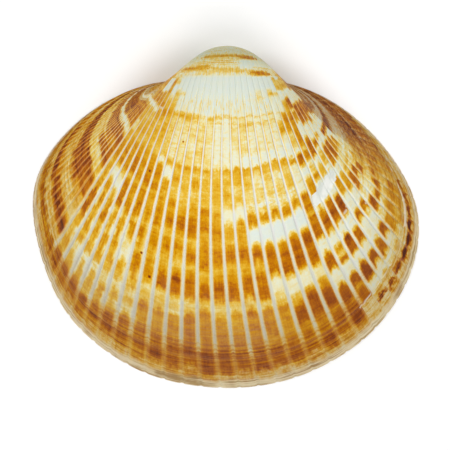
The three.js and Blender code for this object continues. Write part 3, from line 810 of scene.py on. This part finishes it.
# White grooves between the ribs
grooveWidth = fused(rise(grown, 0.6, 0.85), 0.037, 0.07)
grooveWidth = fused(scaled(rise(along, 0.50, 0.34), rise(grown, 0.55, 0.7)), 0.03, grooveWidth)
groove = calc("DIVIDE", vary(fleck, 0.03, vary(cloud, 0.03, edge)), grooveWidth)
groove = minus(1.0, rise(groove, 0.25, 1.75))
early = fused(rise(along, 0.40, 0.36), 0.12, grown)
grooveShare = rise(early, 0.46, 0.58)
lastGrowth = rise(vary(streaked, 0.04, vary(cloud, 0.04, grown)), 0.915, 0.955)
grooveShare = without(grooveShare, scaled(lastGrowth, 0.9))
grooveShare = scaled(grooveShare, fused(rise(vary(cloud, 0.05, along), 0.26, 0.31), 0.45, 0.5))
grooveShare = without(grooveShare, scaled(rise(vary(cloud, 0.08, along), 0.71, 0.79), 0.9))
frontEnd = scaled(rise(along, 0.30, 0.27), rise(vary(cloud, 0.1, grown), 0.70, 0.80))
grooveShare = without(grooveShare, scaled(frontEnd, 0.75))
white = scaled(groove, scaled(grooveShare, 0.9))
# and a white wash over the sides of the ribs in front of the belly
wash = scaled(rise(shellNoise(75.0, 34.0), 0.45, 0.62), rise(edge, 0.5, 0.16))
washAlong = without(rise(along, 0.46, 0.36), rise(along, 0.305, 0.28))
washGrown = without(rise(grown, 0.68, 0.8), rise(grown, 0.91, 0.95))
wash = scaled(wash, scaled(washAlong, washGrown))
dye = without(dye, calc("MAXIMUM", white, scaled(wash, 0.8)))

# Tiny dark pits
for at in pattern["pits"]:
    pit = addMark("pit", joinVector(along, grown), joinVector(dye, 0.0), at,
                  pattern["pitOuter"], pattern["pitInner"], (1.0, 0, 0), 0.9)
    dye = splitVector(pit)[0]

# Colours from white to dark brown
lines = growthLines("fineLines", 420.0)
stain = colourRamp(dye, [(0.0, (222, 231, 222)), (0.1, (234, 232, 200)), (0.24, (236, 214, 130)),
                         (0.4, (230, 184, 54)), (0.55, (215, 150, 0)), (0.7, (190, 109, 2)),
                         (0.84, (152, 72, 14)), (1.0, (86, 36, 20))])
grooveColour = blendColour(rise(grown, 0.7, 0.88), paint(228, 223, 224), paint(214, 210, 196))
grooveColour = blendColour(rise(along, 0.62, 0.68), grooveColour, paint(232, 230, 222))
coloured = blendColour(scaled(white, 0.8), stain, grooveColour)
# painted shade: the tip of the beak is darkened to a grey-green, as if its slope turned away from the light
coloured = blendColour(scaled(rise(grown, 0.34, 0.16), 0.75), coloured, paint(206, 214, 202), "MULTIPLY")
coloured = blendColour(rise(grown, 0.84, 0.96), coloured, paint(230, 226, 222), "MULTIPLY")
dusty = scaled(rise(vary(cloud, 0.1, grown), 0.84, 0.91), fused(fineLine, 0.5, -0.08))
dusty = without(dusty, scaled(rise(grown, 0.925, 0.95), 0.75))
dusty = without(dusty, scaled(rise(along, 0.54, 0.6), 0.85))
dusty = scaled(dusty, rise(along, 0.26, 0.34))
coloured = blendColour(dusty, coloured, paint(176, 150, 122))

# The hind slope takes the dye in horn browns
streak = shellNoise(12.0, 105.0, 3.0, 0.65)
radial = shellNoise(330.0, 10.0, 2.0, 0.6)
spots = shellNoise(150.0, 140.0)
lowSpots = scaled(minus(spots, 0.5), scaled(rise(grown, 0.72, 0.84), 1.1))
hornDye = calc("ADD", lowSpots, vary(streak, 0.9, vary(radial, 0.45, vary(fleck, 0.25, dye))))
hornStain = colourRamp(hornDye, [(0.05, (208, 208, 186)), (0.3, (200, 174, 122)), (0.5, (186, 136, 70)),
                                 (0.7, (162, 98, 44)), (0.88, (126, 72, 44)), (1.0, (94, 56, 50))])
hornTint = stretchedNoise(scaled(along, 8.0), vary(radial, 6.0, scaled(grown, 44.0)), 2.0)
hornTint = blendColour(rise(hornTint, 0.35, 0.65), paint(255, 228, 190), paint(236, 232, 250))
coloured = blendColour(horn, coloured, blendColour(1.0, hornStain, hornTint, "MULTIPLY"))

# Chips, cracks and the rim
chalk = blendColour(rise(cloud, 0.3, 0.7), paint(246, 247, 240), paint(224, 229, 220))
coloured = blendColour(rise(wearMap[0], 0.3, 0.6), coloured, chalk)
crackShare = scaled(rise(wearMap[1], 0.1, 0.8), rise(cloud, 0.4, 0.6))
coloured = blendColour(scaled(crackShare, 0.65), coloured, paint(232, 228, 208))
rim = rise(vary(cloud, 0.012, grown), 0.984, 0.993)
rimColour = blendColour(rise(vary(cloud, 0.5, fineLine), 0.4, 0.7), paint(222, 209, 176), paint(158, 132, 92))
coloured = blendColour(scaled(rim, 0.8), coloured, rimColour)
tree.links.new(coloured, shader.inputs["Base Color"])
gloss = vary(fineLine, 0.14, vary(cloud, 0.1, backLook["roughness"]))
gloss = fused(rise(wearMap[0], 0.3, 0.6), backLook["chipRoughness"], gloss)
tree.links.new(gloss, shader.inputs["Roughness"])

ripple = addNode("ShaderNodeBump", {"Strength": backLook["bump"], "Distance": backLook["bumpHeight"],
                                    "Height": lines})
tree.links.new(ripple.outputs[0], shader.inputs["Normal"])
valveBack.data.materials.append(valveColour)

# The inside: porcelain white, a warm flush under the beak, two muscle scars joined by a faint line
hollowLook = {
    # centre along the margin and in growth, half widths
    "scars": [("frontScar", (0.175, 0.80), (0.045, 0.055)), ("hindScar", (0.80, 0.80), (0.05, 0.06))],
    "lineGrown": 0.83, "lineWidth": 0.008, "lineFade": 0.002, "flush": (0.72, 0.3),
    "shader": {"Specular IOR Level": 0.4, "Coat Weight": 0.15, "Coat Roughness": 0.15},
    "roughness": 0.3, "bump": 0.3, "bumpHeight": 0.0001,
}
insideColour, tree, shader = newFinish("valveInsideFinish", hollowLook)
growthMap, ribMap = readMap("growthMap"), readMap("ribMap")
along, grown = growthMap[0], growthMap[1]
edge = minus(0.5, calc("ABSOLUTE", minus(ribMap[0], 0.5)))
clouds = shellNoise(14.0, 9.0, 3.0)
rays = shellNoise(210.0, 4.0)
rings = shellNoise(6.0, 70.0, 3.0, 0.6)
grain = shellNoise(620.0, 260.0)
porcelain = blendColour(rise(clouds, 0.3, 0.7), paint(240, 238, 230), paint(226, 219, 202))
porcelain = blendColour(scaled(rise(rays, 0.45, 0.8), 0.5), porcelain, paint(216, 206, 184))
porcelain = blendColour(scaled(rise(rings, 0.45, 0.75), 0.4), porcelain, paint(246, 244, 238))
flush = rise(vary(clouds, 0.2, grown), *hollowLook["flush"])
porcelain = blendColour(scaled(flush, 0.55), porcelain, paint(236, 206, 160))
lineOff = calc("ABSOLUTE", minus(vary(clouds, 0.02, grown), hollowLook["lineGrown"]))
pallial = rise(lineOff, hollowLook["lineWidth"], hollowLook["lineFade"])
pallial = without(pallial, rise(calc("ABSOLUTE", minus(along, 0.49)), 0.24, 0.28))
scarred = None
for name, centre, half in hollowLook["scars"]:
    spot = joinVector(vary(clouds, 0.02, along), vary(clouds, 0.03, grown))
    scar = addMark(name, spot, joinVector(0.0, 0.0), centre, half, (half[0] * 0.6, half[1] * 0.6), (1, 0, 0))
    mask = splitVector(scar)[0]
    scarred = mask if scarred is None else calc("MAXIMUM", scarred, mask)
porcelain = blendColour(scaled(scarred, 0.5), porcelain, paint(212, 200, 176))
porcelain = blendColour(scaled(pallial, 0.5), porcelain, paint(208, 194, 168))
# towards the rim the outer colour shows through, darker in the notches
nearRim = rise(vary(clouds, 0.04, vary(rays, 0.03, grown)), 0.955, 1.0)
rimTone = blendColour(rise(edge, 0.1, 0.4), paint(186, 150, 104), paint(222, 200, 160))
porcelain = blendColour(scaled(nearRim, 0.75), porcelain, rimTone)
porcelain = blendColour(scaled(grain, 0.16), porcelain, paint(206, 192, 164))
tree.links.new(porcelain, shader.inputs["Base Color"])
sheen = vary(clouds, 0.16, vary(grain, 0.06, hollowLook["roughness"]))
sheen = calc("ADD", sheen, scaled(nearRim, 0.2))
tree.links.new(calc("ADD", sheen, scaled(scarred, -0.1)), shader.inputs["Roughness"])
bumps = growthLines("insideLines", 90.0)
height = calc("ADD", bumps, calc("ADD", scaled(rays, 0.6), scaled(scarred, -0.8)))
ripple = addNode("ShaderNodeBump", {"Strength": hollowLook["bump"], "Distance": hollowLook["bumpHeight"],
                                    "Height": height})
tree.links.new(ripple.outputs[0], shader.inputs["Normal"])
valveInside.data.materials.append(insideColour)

for piece in (valveBack, valveInside):
    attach(piece, "root")
    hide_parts("valve")
print("finishes", len(pattern["marks"]), "marks")

# Floor, light and camera
studio = {
    "floor": 0.6, "shader": {"Base Color": (0.99, 0.99, 0.99, 1), "Roughness": 0.9}, "world": 0.25,
    # the camera looks straight down: the photograph's width, its scale and the pixel of the beak's tip
    "lift": 3.0, "pixels": 450, "pixelsPerMm": 6.43, "beakPixel": (222.5, 77.5), "lampSize": 0.45,
    "lamps": [("lampFrontLeft", (-0.38, 0.26, 0.56), 2.45), ("lampRight", (0.46, 0.08, 0.56), 1.6),
              ("lampBelow", (0.04, -0.40, 0.62), 2.15)],
}
floorMesh = bpy.data.meshes.new("studioFloor")
half = studio["floor"]
floorCorners = [(-half, -half, 0), (half, -half, 0), (half, half, 0), (-half, half, 0)]
floorMesh.from_pydata(floorCorners, [], [(0, 1, 2, 3)])
studioFloor = newObject("studioFloor", floorMesh)
floorMesh.materials.append(newFinish("studioFloorFinish", studio)[0])

world = bpy.data.worlds.new("studioWorld")
world.use_nodes = True
world.node_tree.nodes["Background"].inputs[0].default_value = (1, 1, 1, 1)
world.node_tree.nodes["Background"].inputs[1].default_value = studio["world"]
bpy.context.scene.world = world

for name, place, power in studio["lamps"]:
    lampData = bpy.data.lights.new(name, "AREA")
    lampData.energy = power
    lampData.size = studio["lampSize"]
    lamp = newObject(name, lampData)
    lamp.location = place
    lamp.rotation_euler = (-Vector(place)).to_track_quat("-Z", "Y").to_euler()

lens = bpy.data.cameras.new("photoCamera")
lens.sensor_width = 36
lens.lens = 36 * studio["lift"] * 1000 / (studio["pixels"] / studio["pixelsPerMm"])
lens.clip_end = 10
photoCamera = newObject("photoCamera", lens)
beakX, beakY = studio["beakPixel"]
cameraX = (studio["pixels"] / 2 - beakX) / studio["pixelsPerMm"] - middle[0]
cameraY = (beakY - studio["pixels"] / 2) / studio["pixelsPerMm"] - middle[1]
photoCamera.location = (cameraX / 1000, cameraY / 1000, studio["lift"])
bpy.context.scene.camera = photoCamera
bpy.context.scene.view_settings.view_transform = "Standard"
